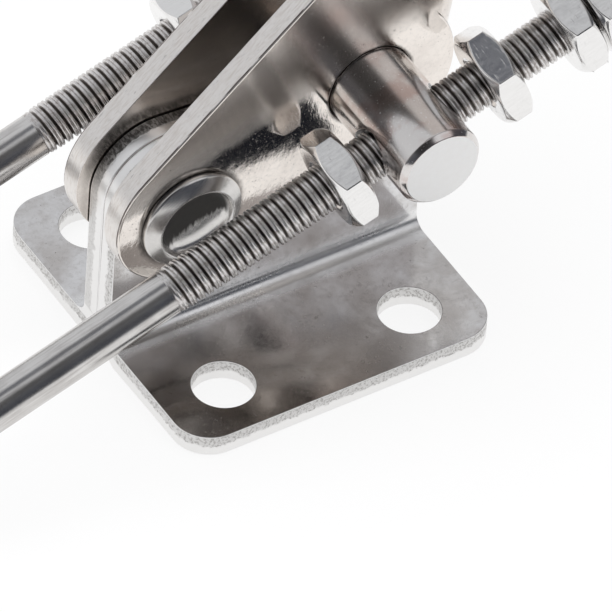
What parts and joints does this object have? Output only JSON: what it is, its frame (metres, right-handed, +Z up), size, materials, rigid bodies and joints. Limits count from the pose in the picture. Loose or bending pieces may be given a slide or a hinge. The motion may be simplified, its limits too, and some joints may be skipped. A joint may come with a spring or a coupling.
{
  "type": "latch toggle clamp",
  "caption": "Pull-action latch clamp: flanged steel base, pivoting channel handle and a threaded U-bolt hook carried by a swinging round trunnion.",
  "frame": {"origin": "middle of the four mounting holes, on the mounting face", "axes": "+X from the U-bolt's hook back towards the handle's side, +Y across to the left plate, +Z up from the mounting face"},
  "size_m": [0.1299, 0.0378, 0.0866],
  "materials": {
    "base_steel": "polished stainless sheet, sheared edges left rough",
    "handle_steel": "polished stainless sheet, sheared edges left rough",
    "rivet_steel": "polished stainless, turned head",
    "bushing_steel": "plain turned stainless",
    "trunnion_steel": "polished stainless bar, fine-turned ends",
    "bolt_steel": "drawn and polished stainless rod, rolled threads",
    "nut_steel": "stainless hexagon, fine grinding marks on the flats"
  },
  "bodies": {
    "base": {"base_plate_right": "base_steel", "base_plate_left": "base_steel"},
    "handle": {"handle": "handle_steel", "pivot_rivet": "rivet_steel", "pivot_bushing": "bushing_steel"},
    "trunnion": {"trunnion": "trunnion_steel"},
    "u_bolt": {"u_bolt": "bolt_steel"},
    "front_nut_right": {"front_nut_right": "nut_steel"},
    "back_nut_right": {"back_nut_right": "nut_steel"},
    "lock_nut_right": {"lock_nut_right": "nut_steel"},
    "end_nut_right": {"end_nut_right": "nut_steel"},
    "front_nut_left": {"front_nut_left": "nut_steel"},
    "back_nut_left": {"back_nut_left": "nut_steel"},
    "lock_nut_left": {"lock_nut_left": "nut_steel"},
    "end_nut_left": {"end_nut_left": "nut_steel"}
  },
  "joints": [
    {"name": "handle_pivot", "type": "hinge", "parent": "base", "child": "handle", "pos_m": [-0.011, 0, 0.0195], "axis": [0, -1, 0], "range_deg": [0, 130]},
    {"name": "trunnion_swing", "type": "hinge", "parent": "handle", "child": "trunnion", "pos_m": [0.0093, 0, 0.02815], "axis": [0, -1, 0], "range_deg": [-130, 0]},
    {"name": "u_bolt_slide", "type": "slide", "parent": "trunnion", "child": "u_bolt", "axis": [0.9452, 0, 0.3264], "range_m": [-0.0036, 0.002]},
    {"name": "front_nut_right_turn", "type": "hinge", "parent": "u_bolt", "child": "front_nut_right", "pos_m": [0.00136, -0.0126, 0.02541], "axis": [0.9452, 0, 0.3264], "continuous": true},
    {"name": "back_nut_right_turn", "type": "hinge", "parent": "u_bolt", "child": "back_nut_right", "pos_m": [0.0188, -0.0126, 0.03143], "axis": [0.9452, 0, 0.3264], "continuous": true},
    {"name": "lock_nut_right_turn", "type": "hinge", "parent": "u_bolt", "child": "lock_nut_right", "pos_m": [0.0274, -0.0126, 0.0344], "axis": [0.9452, 0, 0.3264], "continuous": true},
    {"name": "end_nut_right_turn", "type": "hinge", "parent": "u_bolt", "child": "end_nut_right", "pos_m": [0.0308, -0.0126, 0.03558], "axis": [0.9452, 0, 0.3264], "continuous": true},
    {"name": "front_nut_left_turn", "type": "hinge", "parent": "u_bolt", "child": "front_nut_left", "pos_m": [-0.00067, 0.0126, 0.02471], "axis": [0.9452, 0, 0.3264], "continuous": true},
    {"name": "back_nut_left_turn", "type": "hinge", "parent": "u_bolt", "child": "back_nut_left", "pos_m": [0.0188, 0.0126, 0.03143], "axis": [0.9452, 0, 0.3264], "continuous": true},
    {"name": "lock_nut_left_turn", "type": "hinge", "parent": "u_bolt", "child": "lock_nut_left", "pos_m": [0.0274, 0.0126, 0.0344], "axis": [0.9452, 0, 0.3264], "continuous": true},
    {"name": "end_nut_left_turn", "type": "hinge", "parent": "u_bolt", "child": "end_nut_left", "pos_m": [0.0308, 0.0126, 0.03558], "axis": [0.9452, 0, 0.3264], "continuous": true}
  ],
  "couplings": [
    {"joint": "trunnion_swing", "follows": "handle_pivot", "ratio": -1}
  ]
}
